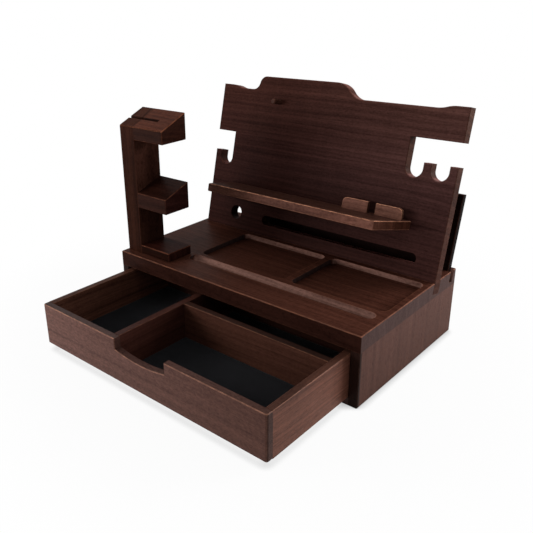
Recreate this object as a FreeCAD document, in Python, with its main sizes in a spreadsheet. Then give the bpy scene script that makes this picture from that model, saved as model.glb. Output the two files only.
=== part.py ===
"""Wooden valet box: a case with one drawer, two trays and a pen groove on top,
a leaning back panel with arms and notches, a phone shelf and a watch stand.

Frame: millimetres, +X right along the front, +Y from front to back, +Z up.
The origin is the centre of the case's bottom face. The drawer is modelled
pulled out by drawer_out.
"""
import FreeCAD, Part
import math
import os

import Sketcher

SIZES = [
    # case
    ("case_width", 340.0, "overall width of the case"),
    ("case_depth", 204.0, "overall depth of the case"),
    ("case_height", 79.0, "table to the face of the top slab"),
    ("top_thick", 18.0, "top slab"),
    ("side_thick", 10.0, "side boards of the case"),
    ("bottom_thick", 8.0, "bottom board of the case"),
    ("back_thick", 8.0, "back board of the case"),
    ("edge_round", 1.0, "eased outer edges"),
    ("edge_bevel", 0.8, "bevelled edges"),
    ("side_dowel_inset", 25.5, "front and back of the case to the side boards' dowels"),
    # drawer
    ("drawer_side_gap", 1.0, "running gap on each side of the drawer"),
    ("drawer_lift", 0.3, "running gap under the drawer"),
    ("drawer_top_gap", 3.7, "drawer walls to the underside of the slab"),
    ("drawer_back_gap", 6.0, "shut drawer to the back board"),
    ("drawer_wall", 8.0, "thickness of every drawer wall"),
    ("drawer_corner", 2.5, "rounded ends of the drawer front"),
    ("wall_bevel", 0.5, "bevelled edges of the drawer's walls and the phone lips"),
    ("drawer_out", 125.5, "how far the drawer stands out of the case"),
    ("drawer_bottom_thick", 4.0, "drawer bottom"),
    ("drawer_bottom_up", 3.0, "lower edge of the walls to the drawer bottom"),
    ("drawer_groove", 4.0, "depth of the groove that holds the bottom"),
    ("liner_thick", 1.0, "felt on the compartment floors"),
    ("liner_gap", 0.2, "felt edge to wall"),
    ("corner_dowel_inset", 8.0, "drawer floor and top edge to the corner dowels"),
    ("finger_width", 72.0, "width of the finger notch"),
    ("finger_step", 12.5, "straight flank of the finger notch"),
    ("finger_sag", 4.0, "how far the notch floor dips below the flanks"),
    ("long_divider_x", -41.0, "middle of the front-to-back divider"),
    ("front_row_depth", 92.5, "front board to the cross divider"),
    # trays and pen groove
    ("pen_left_inset", 80.0, "left side of the case to the pen groove"),
    ("pen_right_inset", 10.0, "pen groove to the right side of the case"),
    ("pen_front", 34.0, "front edge of the slab to the pen groove"),
    ("pen_width", 16.0, "width of the pen groove"),
    ("pen_depth", 6.0, "depth of the pen groove"),
    ("pen_cove", 5.0, "radius along the floor of the pen groove"),
    ("tray_front", 56.5, "front edge of the slab to the trays"),
    ("tray_back_land", 7.3, "trays to the main panel"),
    ("tray_depth", 6.0, "depth of the trays"),
    ("tray_corner", 8.0, "corner radius of the trays"),
    ("left_tray_inset", 82.0, "left side of the case to the left tray"),
    ("right_tray_inset", 7.0, "right tray to the right side of the case"),
    ("tray_split_x", 42.0, "middle of the land between the trays"),
    ("tray_split_land", 8.0, "land between the trays"),
    # leaning panels: heights run up the panel's face from the slab
    ("panel_tilt", 13.2, "lean of both panels, in degrees"),
    ("panel_thick", 14.0, "main panel"),
    ("panel_inset", 6.0, "left side of the case to the main panel"),
    ("main_slot_floor", 2.6, "wood left under the main panel's slot"),
    ("panel_top", 200.0, "slab to the top edge of the main panel"),
    ("top_left_inset", 75.0, "left side of the case to the top edge"),
    ("top_right_inset", 161.0, "top edge to the right side of the case"),
    ("shoulder_width", 36.0, "width of the right shoulder curve"),
    ("left_shoulder_width", 20.0, "width of the left shoulder curve"),
    ("saddle_drop", 17.0, "top edge down to the hollow of the arms"),
    ("tip_drop", 13.5, "top edge down to the tips of the arms"),
    ("tip_rise_width", 22.0, "width of the curve up to an arm's tip"),
    ("tip_width", 14.0, "flat top of an arm's tip"),
    ("right_arm_length", 58.5, "right arm, out from the panel's body"),
    ("right_arm_drop", 50.0, "top edge down to the right arm's underside"),
    ("left_arm_length", 29.0, "left arm, out from the panel's body"),
    ("left_arm_drop", 74.0, "top edge down to the left arm's underside"),
    ("notch_width", 20.1, "each of the two right notches"),
    ("notch_depth", 17.4, "depth of the right notches"),
    ("right_prong_drop", 75.3, "top edge down to the right prongs"),
    ("outer_prong_width", 9.1, "rightmost prong"),
    ("left_prong_width", 10.0, "left prong"),
    ("left_prong_drop", 100.0, "top edge down to the left prong"),
    ("left_notch_depth", 17.5, "depth of the left notch"),
    ("cable_slot_left", 99.0, "left side of the case to the cable slot"),
    ("cable_slot_right", 26.0, "cable slot to the right side of the case"),
    ("cable_slot_low", 14.3, "slab to the cable slot"),
    ("cable_slot_high", 12.0, "height of the cable slot"),
    ("cable_hole_inset", 55.0, "left side of the case to the round hole"),
    ("cable_hole_up", 21.5, "slab to the round hole's middle"),
    ("cable_hole_diameter", 18.0, "round cable hole"),
    ("rear_behind", 5.4, "rear panel to the slab's back edge"),
    ("rear_spacing", 39.0, "front face to front face of the two panels"),
    ("rear_thick", 8.0, "rear panel"),
    ("rear_slot_floor", 4.0, "wood left under the rear panel's slot"),
    ("rear_left_inset", 50.0, "left side of the case to the rear panel"),
    ("rear_right_inset", 3.5, "rear panel to the right side of the case"),
    ("rear_top", 86.4, "slab to the rear panel's top edge"),
    # shelf, lips and ring peg, measured from the main panel's front face
    ("shelf_top", 60.0, "slab to the shelf's top"),
    ("shelf_thick", 10.0, "phone shelf"),
    ("shelf_depth", 60.0, "how far the shelf stands out"),
    ("shelf_inset", 40.0, "sides of the case to the shelf's rear edge"),
    ("shelf_taper", 13.0, "how much narrower each side is at the front"),
    ("shelf_dowel_left", 76.0, "left side of the case to the shelf's first dowel"),
    ("shelf_dowel_right", 118.0, "shelf's second dowel to the case's right side"),
    ("phone_inset", 83.0, "middle of the phone to the case's right side"),
    ("plug_slot_width", 14.0, "lead slot in the shelf"),
    ("plug_slot_depth", 8.0, "lead slot in the shelf, front to back"),
    ("plug_slot_gap", 1.5, "panel to the lead slot"),
    ("lip_back", 8.5, "panel to the back of the phone lips"),
    ("lip_thick", 5.0, "phone lips"),
    ("lip_height", 13.0, "phone lips above the shelf"),
    ("lip_inner", 5.0, "phone's middle to the inner end of a lip"),
    ("lip_outer", 37.5, "phone's middle to the outer end of a lip"),
    ("lip_corner", 6.0, "rounded outer corner of a lip"),
    ("peg_inset", 100.0, "left side of the case to the ring peg"),
    ("peg_drop", 30.0, "top edge down to the ring peg"),
    ("peg_diameter", 6.0, "ring peg"),
    ("peg_out", 14.0, "how far the ring peg stands out"),
    ("peg_in", 8.0, "how deep the ring peg sits in the panel"),
    ("peg_bevel", 1.0, "bevelled end of the ring peg"),
    # watch stand: heights run straight up from the slab
    ("stand_inset", 3.0, "left side of the case to the stand"),
    ("stand_front", 9.8, "front of the slab to the stand"),
    ("stand_depth", 38.0, "stand, front to back"),
    ("post_width", 24.0, "upright post"),
    ("arm_length", 47.5, "foot and arms, out from the post"),
    ("foot_height", 11.0, "foot above the slab"),
    ("stand_dowel_inset", 9.5, "front and back of the stand to its dowels"),
    ("post_dowel_in", 8.0, "left side of the post to its dowels"),
    ("upper_arm_under", 140.7, "slab to the upper arm's underside"),
    ("upper_arm_front", 155.9, "slab to the upper arm's top, at its front"),
    ("upper_arm_rise", 15.8, "rise of that top, front to back"),
    ("lower_arm_under", 59.2, "slab to the lower arm's underside"),
    ("lower_arm_front", 77.1, "slab to the lower arm's top, at its front"),
    ("lower_arm_rise", 13.8, "rise of that top, front to back"),
    ("lead_groove_front", 14.8, "front of the stand to the lead groove"),
    ("lead_groove_width", 4.0, "lead groove across the stand's top"),
    ("lead_groove_depth", 4.0, "lead groove, at its front flank"),
    ("lead_groove_run", 26.0, "how far the groove runs along the upper arm"),
    # dowels
    ("dowel_diameter", 6.0, "dowels of the case, shelf and stand"),
    ("dowel_length", 20.0, "the same dowels"),
    ("drawer_dowel_diameter", 4.0, "dowels of the drawer's corners"),
    ("drawer_dowel_length", 10.0, "the same dowels"),
    ("dowel_end_gap", 0.5, "end of a dowel to the end of its hole"),
    ("dowel_fit", 0.05, "dowel to hole, on the radius"),
]


class Size:
    """A size or a formula of sizes: text for the document, value for Python."""

    def __init__(self, text, value):
        self.text = text
        self.value = value

    def join(self, sign, other, value):
        return Size(f"({self.text} {sign} {other.text})", value)

    def __add__(self, other):
        other = size(other)
        return self.join("+", other, self.value + other.value)

    def __radd__(self, other):
        return size(other) + self

    def __sub__(self, other):
        other = size(other)
        return self.join("-", other, self.value - other.value)

    def __rsub__(self, other):
        return size(other) - self

    def __mul__(self, other):
        other = size(other)
        return self.join("*", other, self.value * other.value)

    def __rmul__(self, other):
        return size(other) * self

    def __truediv__(self, other):
        other = size(other)
        return self.join("/", other, self.value / other.value)

    def __neg__(self):
        return size(0) - self


def size(number):
    """A plain number as a Size; a Size stays as it is."""
    if isinstance(number, Size):
        return number
    return Size(f"{number:g}", float(number))


def sine(angle):
    return Size(f"sin({angle.text} * 1 deg)", math.sin(math.radians(angle.value)))


def cosine(angle):
    return Size(f"cos({angle.text} * 1 deg)", math.cos(math.radians(angle.value)))


def tangent(angle):
    return Size(f"tan({angle.text} * 1 deg)", math.tan(math.radians(angle.value)))


def write_sheet(document):
    """Put every driving size into a spreadsheet and return them by name."""
    sheet = document.addObject("Spreadsheet::Sheet", "Sizes")
    named = {}
    for row, (name, value, note) in enumerate(SIZES, start=1):
        sheet.set(f"A{row}", name)
        sheet.set(f"B{row}", repr(value))
        sheet.set(f"C{row}", note)
        sheet.setAlias(f"B{row}", name)
        named[name] = Size(f"Sizes.{name}", value)
    document.recompute()
    return named


class Outline:
    """A closed outline of straight runs and arcs, in its sketch's own x and y."""

    def __init__(self, x, y):
        self.points = [(size(x), size(y))]
        self.arcs = {}

    def line(self, x, y):
        self.points.append((size(x), size(y)))
        return self

    def arc(self, x, y, middle_x, middle_y, clockwise=False):
        self.arcs[len(self.points) - 1] = (size(middle_x), size(middle_y), clockwise)
        return self.line(x, y)

    def close(self):
        """Let the last run end at the first point."""
        self.points.pop()
        return self

    def s_curve(self, x, y):
        """Two equal arcs that leave and arrive level, to the point x, y."""
        start_x, start_y = self.points[-1]
        run = size(x) - start_x
        rise = size(y) - start_y
        radius = (run * run + rise * rise) / (4 * rise)
        middle_x = start_x + run / 2
        middle_y = start_y + rise / 2
        turns_right = run.value * rise.value < 0
        self.arc(middle_x, middle_y, start_x, start_y + radius, turns_right)
        return self.arc(x, y, x, y - radius, not turns_right)


def rectangle(left, low, right, high):
    return Outline(left, low).line(right, low).line(right, high).line(left, high)


def rounded_rectangle(left, low, right, high, radius):
    shape = Outline(left + radius, low).line(right - radius, low)
    shape.arc(right, low + radius, right - radius, low + radius)
    shape.line(right, high - radius)
    shape.arc(right - radius, high, right - radius, high - radius)
    shape.line(left + radius, high)
    shape.arc(left, high - radius, left + radius, high - radius)
    shape.line(left, low + radius)
    shape.arc(left + radius, low, left + radius, low + radius)
    return shape.close()


def long_hole(left, low, right, high):
    """A slot with half-round ends, longer in x than in y."""
    radius = (high - low) / 2
    middle = (low + high) / 2
    shape = Outline(left + radius, low).line(right - radius, low)
    shape.arc(right - radius, high, right - radius, middle)
    shape.line(left + radius, high)
    shape.arc(left + radius, low, left + radius, middle)
    return shape.close()


def bind_place(thing, x, y, z, lean=None, turn=None):
    """Place a thing, with a fixed turn or leaning back about X by an angle."""
    base = [size(x), size(y), size(z)]
    rotation = turn or FreeCAD.Rotation()
    if lean is not None:
        rotation = FreeCAD.Rotation(FreeCAD.Vector(-1, 0, 0), lean.value)
    where = FreeCAD.Vector(*[part.value for part in base])
    thing.Placement = FreeCAD.Placement(where, rotation)
    for axis, part in zip("xyz", base):
        thing.setExpression(f"Placement.Base.{axis}", part.text)
    if lean is not None:
        thing.setExpression("Placement.Rotation.Angle", f"{lean.text} * 1 deg")


class Piece:
    """One board or pin: a PartDesign body whose features follow the sheet."""

    PLANES = {"XY": ("XY_Plane", 1), "XZ": ("XZ_Plane", -1), "YZ": ("YZ_Plane", 1)}

    def __init__(self, document, name):
        self.document = document
        self.thing = document.addObject("PartDesign::Body", name)
        self.thing.Label = name
        self.name = name
        self.count = 0

    def place(self, x, y, z, lean=None):
        bind_place(self.thing, x, y, z, lean)
        return self

    def feature(self, kind, word):
        self.count += 1
        return self.thing.newObject(kind, f"{self.name}_{word}_{self.count}")

    def sketch(self, plane, start):
        """A sketch on an origin plane, moved along the plane's own axis."""
        role, way = self.PLANES[plane]
        sketch = self.feature("Sketcher::SketchObject", "sketch")
        origin = [item for item in self.thing.Origin.OriginFeatures if item.Role == role][0]
        sketch.AttachmentSupport = [(origin, "")]
        sketch.MapMode = "FlatFace"
        sketch.setExpression("AttachmentOffset.Base.z", (way * size(start)).text)
        return sketch

    def fix_point(self, sketch, geometry, position, x, y):
        """Bind one point of the sketch to its x, its y or both."""
        for kind, part in (("DistanceX", x), ("DistanceY", y)):
            if part is not None:
                rule = Sketcher.Constraint(kind, -1, 1, geometry, position, part.value)
                index = sketch.addConstraint(rule)
                sketch.setExpression(f"Constraints[{index}]", part.text)

    def add_arc(self, sketch, start, end, middle, clockwise):
        """Add an arc; return it with the numbers of its first and last point."""
        first, last = (end, start) if clockwise else (start, end)
        circle = Part.Circle(middle, FreeCAD.Vector(0, 0, 1), (start - middle).Length)
        begin = math.atan2(first.y - middle.y, first.x - middle.x)
        finish = math.atan2(last.y - middle.y, last.x - middle.x)
        index = sketch.addGeometry(Part.ArcOfCircle(circle, begin, finish))
        return (index, 2, 1) if clockwise else (index, 1, 2)

    def draw_outline(self, sketch, outline):
        points = outline.points
        places = [FreeCAD.Vector(x.value, y.value, 0) for x, y in points]
        runs = []
        for number, start in enumerate(places):
            end = places[(number + 1) % len(places)]
            if number in outline.arcs:
                middle_x, middle_y, clockwise = outline.arcs[number]
                middle = FreeCAD.Vector(middle_x.value, middle_y.value, 0)
                runs.append(self.add_arc(sketch, start, end, middle, clockwise))
                wide = abs(end.x - start.x) >= abs(end.y - start.y)
                bound = (None, middle_y) if wide else (middle_x, None)
                self.fix_point(sketch, runs[-1][0], 3, *bound)
            else:
                runs.append((sketch.addGeometry(Part.LineSegment(start, end)), 1, 2))
        for number, (index, start, end) in enumerate(runs):
            following, next_start, _ = runs[(number + 1) % len(runs)]
            joint = Sketcher.Constraint("Coincident", index, end, following, next_start)
            sketch.addConstraint(joint)
            self.fix_point(sketch, index, start, *points[number])

    def draw_circles(self, sketch, circles, diameter):
        for x, y in circles:
            middle = FreeCAD.Vector(size(x).value, size(y).value, 0)
            circle = Part.Circle(middle, FreeCAD.Vector(0, 0, 1), diameter.value / 2)
            index = sketch.addGeometry(circle)
            self.fix_point(sketch, index, 3, size(x), size(y))
            rule = sketch.addConstraint(Sketcher.Constraint("Diameter", index, diameter.value))
            sketch.setExpression(f"Constraints[{rule}]", diameter.text)

    def extrude(self, kind, sketch, plane, length):
        """Pad or pocket a sketch towards the positive axis, and compare volumes."""
        before = 0.0 if self.thing.Tip is None else self.thing.Shape.Volume
        feature = self.feature(f"PartDesign::{kind}", kind.lower())
        feature.Profile = sketch
        feature.setExpression("Length", size(length).text)
        forwards = self.PLANES[plane][1] > 0
        feature.Reversed = forwards != (kind == "Pad")
        self.document.recompute()
        gained = self.thing.Shape.Volume - before
        if gained == 0 or (gained > 0) != (kind == "Pad"):
            raise RuntimeError(f"{feature.Name} changes the volume by {gained}")

    def pad(self, plane, outline, start, length):
        sketch = self.sketch(plane, start)
        self.draw_outline(sketch, outline)
        self.extrude("Pad", sketch, plane, length)
        return self

    def pocket(self, plane, outline, start, length):
        sketch = self.sketch(plane, start)
        self.draw_outline(sketch, outline)
        self.extrude("Pocket", sketch, plane, length)
        return self

    def drill(self, plane, circles, start, length, diameter):
        sketch = self.sketch(plane, start)
        self.draw_circles(sketch, circles, diameter)
        self.extrude("Pocket", sketch, plane, length)
        return self

    def rod(self, plane, circles, start, length, diameter):
        sketch = self.sketch(plane, start)
        self.draw_circles(sketch, circles, diameter)
        self.extrude("Pad", sketch, plane, length)
        return self

    def soften(self, kind, measure, choose, amount):
        """Work on every edge of the last feature that the test picks."""
        last = self.thing.Tip
        edges = enumerate(last.Shape.Edges, start=1)
        names = [f"Edge{number}" for number, edge in edges if choose(edge)]
        if not names:
            raise RuntimeError(f"{self.name} has no such edge")
        feature = self.feature(f"PartDesign::{kind}", kind.lower())
        feature.Base = (last, names)
        feature.setExpression(measure, amount.text)
        self.document.recompute()
        return self

    def ease(self, choose, radius):
        return self.soften("Fillet", "Radius", choose, radius)

    def bevel(self, choose, width):
        return self.soften("Chamfer", "Size", choose, width)


class DowelGroup:
    """Dowels that share one node, each a cylinder of its own."""

    TURNS = {
        "X": FreeCAD.Rotation(FreeCAD.Vector(0, 1, 0), 90),
        "Y": FreeCAD.Rotation(FreeCAD.Vector(1, 0, 0), -90),
        "Z": FreeCAD.Rotation(),
    }

    def __init__(self, document, name, axis, places, diameter, length):
        pins = []
        for number, (x, y, z) in enumerate(places, start=1):
            pin = document.addObject("Part::Cylinder", f"{name}_{number}")
            pin.setExpression("Radius", (diameter / 2).text)
            pin.setExpression("Height", length.text)
            bind_place(pin, x, y, z, turn=self.TURNS[axis])
            pins.append(pin)
        self.thing = document.addObject("Part::Compound", name)
        self.thing.Label = name
        self.thing.Links = pins

    def place(self, x, y, z, lean=None):
        bind_place(self.thing, x, y, z, lean)


# Tests that pick edges to ease or bevel, in a piece's own frame.

NEAR = 1e-3


def span(edge, axis):
    box = edge.BoundBox
    return getattr(box, f"{axis}Min"), getattr(box, f"{axis}Max")


def along(axis):
    """Edges that run straight along an axis."""
    others = [name for name in "XYZ" if name != axis]
    return lambda edge: all(span(edge, name)[1] - span(edge, name)[0] < NEAR for name in others)


def level(axis, value):
    """Edges that lie wholly at one value of an axis."""
    at = size(value).value
    return lambda edge: max(abs(end - at) for end in span(edge, axis)) < NEAR


def between(axis, low, high):
    first = size(low).value - NEAR
    last = size(high).value + NEAR
    return lambda edge: first < span(edge, axis)[0] and span(edge, axis)[1] < last


def above(axis, value):
    """Edges that reach past a value of an axis."""
    limit = size(value).value + NEAR
    return lambda edge: span(edge, axis)[1] > limit


def below(axis, value):
    """Edges that reach under a value of an axis."""
    limit = size(value).value - NEAR
    return lambda edge: span(edge, axis)[0] < limit


def any_of(*tests):
    return lambda edge: any(test(edge) for test in tests)


def all_of(*tests):
    return lambda edge: all(test(edge) for test in tests)


# ---------------------------------------------------------------- the case


def case_left(s):
    return -s["case_width"] / 2


def case_right(s):
    return s["case_width"] / 2


def case_front(s):
    return -s["case_depth"] / 2


def under_slab(s):
    return s["case_height"] - s["top_thick"]


def rear_panel_front(s):
    """Front edge of the slab to the rear panel, on the slab's face."""
    return s["case_depth"] - s["rear_behind"] - s["rear_thick"] / cosine(s["panel_tilt"])


def main_panel_front(s):
    """Front edge of the slab to the main panel, on the slab's face."""
    return rear_panel_front(s) - s["rear_spacing"] / cosine(s["panel_tilt"])


def panel_seat(s, thick, floor):
    """How far a panel reaches down its slot, along its face."""
    lean = s["panel_tilt"]
    return (s["top_thick"] - floor - thick * sine(lean)) / cosine(lean)


def slot_outline(s, front, thick, floor):
    """Leaning slot for a panel: y from the slab's front, z from its underside."""
    lean = s["panel_tilt"]
    high = s["top_thick"]
    over = high / 2
    seat = panel_seat(s, thick, floor)
    low_y = front - seat * sine(lean)
    low_z = high - seat * cosine(lean)
    top_y = front + over * tangent(lean)
    shape = Outline(low_y, low_z)
    shape.line(low_y + thick * cosine(lean), low_z - thick * sine(lean))
    shape.line(top_y + thick / cosine(lean), high + over)
    shape.line(top_y, high + over)
    return shape


def dowel_hole(s):
    """Diameter and depth of the hole for one half of a dowel."""
    return s["dowel_diameter"] + 2 * s["dowel_fit"], s["dowel_length"] / 2 + s["dowel_end_gap"]


def side_dowels(s):
    """Places of the dowels along a side board, from the case's front."""
    return [s["side_dowel_inset"], s["case_depth"] - s["side_dowel_inset"]]


def stand_dowel_rows(s):
    """The watch stand's front to each row of its dowels."""
    return [s["stand_dowel_inset"], s["stand_depth"] - s["stand_dowel_inset"]]


def post_dowels(s):
    """Places of the dowels under the watch stand's post, in the stand's frame."""
    return [(s["post_dowel_in"], y) for y in stand_dowel_rows(s)]


def tray_outline(s, side):
    land = s["tray_split_land"] / 2
    left = case_left(s) + s["left_tray_inset"]
    right = s["tray_split_x"] - land
    if side == "right":
        left = s["tray_split_x"] + land
        right = case_right(s) - s["right_tray_inset"]
    back = main_panel_front(s) - s["tray_back_land"]
    return rounded_rectangle(left, s["tray_front"], right, back, s["tray_corner"])


def make_top_slab(document, s):
    left = case_left(s)
    right = case_right(s)
    thick = s["top_thick"]
    slab = Piece(document, "case_top_slab")
    slab.place(0, case_front(s), under_slab(s))
    slab.pad("XY", rectangle(left, 0, right, s["case_depth"]), 0, thick)
    slab.ease(along("Z"), s["edge_round"])
    slab.bevel(level("Z", thick), s["edge_bevel"])

    for side in ("left", "right"):
        slab.pocket("XY", tray_outline(s, side), thick - s["tray_depth"], s["tray_depth"])

    pen_left = left + s["pen_left_inset"]
    pen_right = right - s["pen_right_inset"]
    pen_back = s["pen_front"] + s["pen_width"]
    pen_floor = thick - s["pen_depth"]
    groove = long_hole(pen_left, s["pen_front"], pen_right, pen_back)
    slab.pocket("XY", groove, pen_floor, s["pen_depth"])
    slab.ease(all_of(level("Z", pen_floor), between("Y", s["pen_front"], pen_back)), s["pen_cove"])

    main_left = left + s["panel_inset"]
    main_slot = slot_outline(s, main_panel_front(s), s["panel_thick"], s["main_slot_floor"])
    slab.pocket("YZ", main_slot, main_left, right - main_left)
    rear_left = left + s["rear_left_inset"]
    rear_slot = slot_outline(s, rear_panel_front(s), s["rear_thick"], s["rear_slot_floor"])
    slab.pocket("YZ", rear_slot, rear_left, right - rear_left)

    bore, deep = dowel_hole(s)
    beside = right - s["side_thick"] / 2
    places = [(way * beside, y) for way in (-1, 1) for y in side_dowels(s)]
    slab.drill("XY", places, 0, deep, bore)
    under_post = [(left + s["stand_inset"] + x, s["stand_front"] + y) for x, y in post_dowels(s)]
    slab.drill("XY", under_post, thick - deep, deep, bore)
    return slab


def make_case_side(document, s, name, way):
    thick = s["side_thick"]
    high = under_slab(s)
    left = case_right(s) - thick if way > 0 else case_left(s)
    outside = thick if way > 0 else size(0)
    board = Piece(document, name)
    board.place(left, case_front(s), 0)
    board.pad("YZ", rectangle(0, 0, s["case_depth"], high), 0, thick)
    board.bevel(all_of(level("X", outside), below("Z", high)), s["edge_bevel"])
    bore, deep = dowel_hole(s)
    board.drill("XY", [(thick / 2, y) for y in side_dowels(s)], high - deep, deep, bore)
    return board


def make_case_bottom(document, s):
    half = case_right(s) - s["side_thick"]
    board = Piece(document, "case_bottom")
    board.place(0, case_front(s), 0)
    area = rectangle(-half, 0, half, s["case_depth"] - s["back_thick"])
    return board.pad("XY", area, 0, s["bottom_thick"])


def make_case_back(document, s):
    half = case_right(s) - s["side_thick"]
    board = Piece(document, "case_back")
    board.place(0, -case_front(s) - s["back_thick"], 0)
    return board.pad("XZ", rectangle(-half, 0, half, under_slab(s)), 0, s["back_thick"])


def make_case_dowels(document, s):
    beside = case_right(s) - s["side_thick"] / 2
    low = under_slab(s) - s["dowel_length"] / 2
    places = [(way * beside, case_front(s) + y, low) for way in (-1, 1) for y in side_dowels(s)]
    return DowelGroup(document, "case_dowels", "Z", places, s["dowel_diameter"], s["dowel_length"])


# -------------------------------------------------------------- the drawer


def drawer_half(s):
    return case_right(s) - s["side_thick"] - s["drawer_side_gap"]


def drawer_front(s):
    return case_front(s) - s["drawer_out"]


def drawer_low(s):
    return s["bottom_thick"] + s["drawer_lift"]


def drawer_height(s):
    return under_slab(s) - drawer_low(s) - s["drawer_top_gap"]


def drawer_depth(s):
    return s["case_depth"] - s["back_thick"] - s["drawer_back_gap"]


def drawer_floor(s):
    """Lower edge of the walls to the floor inside."""
    return s["drawer_bottom_up"] + s["drawer_bottom_thick"]


def cross_divider_front(s):
    """Front face of the drawer to the cross divider."""
    return s["drawer_wall"] + s["front_row_depth"]


def bottom_groove(s, start, end):
    """Groove for the drawer bottom in a wall, from the wall's lower edge."""
    return rectangle(start, s["drawer_bottom_up"], end, drawer_floor(s))


def corner_heights(s):
    """Heights of the dowels in each corner of the drawer."""
    inset = s["corner_dowel_inset"]
    return [drawer_floor(s) + inset, drawer_height(s) - inset]


def corner_bore(s):
    return s["drawer_dowel_diameter"] + 2 * s["dowel_fit"]


def corner_depth(s):
    """Depth of the hole for one half of a corner dowel."""
    return s["drawer_dowel_length"] / 2 + s["dowel_end_gap"]


def finger_notch(s):
    """Straight flanks and a shallow dipping floor, open at the top edge."""
    grip = s["finger_width"] / 2
    sag = s["finger_sag"]
    flank = drawer_height(s) - s["finger_step"]
    above = drawer_height(s) + s["finger_step"]
    radius = (grip * grip + sag * sag) / (2 * sag)
    notch = Outline(-grip, flank)
    notch.arc(grip, flank, 0, flank - sag + radius)
    return notch.line(grip, above).line(-grip, above)


def make_drawer_front(document, s):
    half = drawer_half(s)
    wall = s["drawer_wall"]
    groove = s["drawer_groove"]
    board = Piece(document, "drawer_front")
    board.place(0, drawer_front(s), drawer_low(s))
    board.pad("XZ", rectangle(-half, 0, half, drawer_height(s)), 0, wall)
    board.ease(all_of(along("Z"), level("Y", 0)), s["drawer_corner"])
    board.pocket("XZ", finger_notch(s), 0, wall)
    board.bevel(level("Y", 0), s["edge_bevel"])
    board.bevel(all_of(level("Y", wall), level("Z", drawer_height(s))), s["wall_bevel"])
    inside = half - wall + groove
    board.pocket("XZ", bottom_groove(s, -inside, inside), wall - groove, groove)
    places = [(way * (half - wall / 2), z) for way in (-1, 1) for z in corner_heights(s)]
    board.drill("XZ", places, wall - corner_depth(s), corner_depth(s), corner_bore(s))
    return board


def make_drawer_side(document, s, name, way):
    wall = s["drawer_wall"]
    groove = s["drawer_groove"]
    length = drawer_depth(s) - wall
    deep = corner_depth(s)
    left = drawer_half(s) - wall if way > 0 else -drawer_half(s)
    board = Piece(document, name)
    board.place(left, drawer_front(s) + wall, drawer_low(s))
    board.pad("YZ", rectangle(0, 0, length, drawer_height(s)), 0, wall)
    board.bevel(all_of(along("Y"), level("Z", drawer_height(s))), s["wall_bevel"])
    groove_from = size(0) if way > 0 else wall - groove
    board.pocket("YZ", bottom_groove(s, 0, length - wall + groove), groove_from, groove)
    front_places = [(wall / 2, z) for z in corner_heights(s)]
    board.drill("XZ", front_places, 0, deep, corner_bore(s))
    back_places = [(length - wall / 2, z) for z in corner_heights(s)]
    board.drill("YZ", back_places, size(0) if way > 0 else wall - deep, deep, corner_bore(s))
    return board


def make_drawer_back(document, s):
    wall = s["drawer_wall"]
    inside = drawer_half(s) - wall
    deep = corner_depth(s)
    board = Piece(document, "drawer_back")
    board.place(0, drawer_front(s) + drawer_depth(s) - wall, drawer_low(s))
    board.pad("XZ", rectangle(-inside, 0, inside, drawer_height(s)), 0, wall)
    board.bevel(all_of(along("X"), level("Z", drawer_height(s))), s["wall_bevel"])
    board.pocket("XZ", bottom_groove(s, -inside, inside), 0, s["drawer_groove"])
    places = [(wall / 2, z) for z in corner_heights(s)]
    board.drill("YZ", places, -inside, deep, corner_bore(s))
    board.drill("YZ", places, inside - deep, deep, corner_bore(s))
    return board


def make_drawer_bottom(document, s):
    lap = s["drawer_wall"] - s["drawer_groove"]
    half = drawer_half(s) - lap
    board = Piece(document, "drawer_bottom")
    board.place(0, drawer_front(s), drawer_low(s) + s["drawer_bottom_up"])
    area = rectangle(-half, lap, half, drawer_depth(s) - lap)
    return board.pad("XY", area, 0, s["drawer_bottom_thick"])


def make_long_divider(document, s):
    wall = s["drawer_wall"]
    board = Piece(document, "drawer_long_divider")
    board.place(s["long_divider_x"] - wall / 2, drawer_front(s) + wall, drawer_low(s) + drawer_floor(s))
    high = drawer_height(s) - drawer_floor(s)
    board.pad("YZ", rectangle(0, 0, drawer_depth(s) - 2 * wall, high), 0, wall)
    return board.bevel(all_of(along("Y"), level("Z", high)), s["wall_bevel"])


def make_cross_divider(document, s):
    wall = s["drawer_wall"]
    left = s["long_divider_x"] + wall / 2
    front = drawer_front(s) + cross_divider_front(s)
    board = Piece(document, "drawer_cross_divider")
    board.place(left, front, drawer_low(s) + drawer_floor(s))
    high = drawer_height(s) - drawer_floor(s)
    board.pad("XZ", rectangle(0, 0, drawer_half(s) - wall - left, high), 0, wall)
    return board.bevel(all_of(along("X"), level("Z", high)), s["wall_bevel"])


def compartments(s):
    """Left, front, right and back of each compartment, from the drawer's front."""
    wall = s["drawer_wall"]
    right = drawer_half(s) - wall
    middle = s["long_divider_x"]
    cross = cross_divider_front(s)
    back = drawer_depth(s) - wall
    return {
        "drawer_liner_left": (-right, wall, middle - wall / 2, back),
        "drawer_liner_front": (middle + wall / 2, wall, right, cross),
        "drawer_liner_rear": (middle + wall / 2, cross + wall, right, back),
    }


def make_liner(document, s, name):
    gap = s["liner_gap"]
    left, front, right, back = compartments(s)[name]
    felt = Piece(document, name)
    felt.place(0, drawer_front(s), drawer_low(s) + drawer_floor(s))
    return felt.pad("XY", rectangle(left + gap, front + gap, right - gap, back - gap), 0, s["liner_thick"])


def make_front_dowels(document, s):
    half = drawer_half(s) - s["drawer_wall"] / 2
    y = drawer_front(s) + s["drawer_wall"] - s["drawer_dowel_length"] / 2
    low = drawer_low(s)
    places = [(way * half, y, low + z) for way in (-1, 1) for z in corner_heights(s)]
    pin = (s["drawer_dowel_diameter"], s["drawer_dowel_length"])
    return DowelGroup(document, "drawer_front_dowels", "Y", places, *pin)


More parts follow.
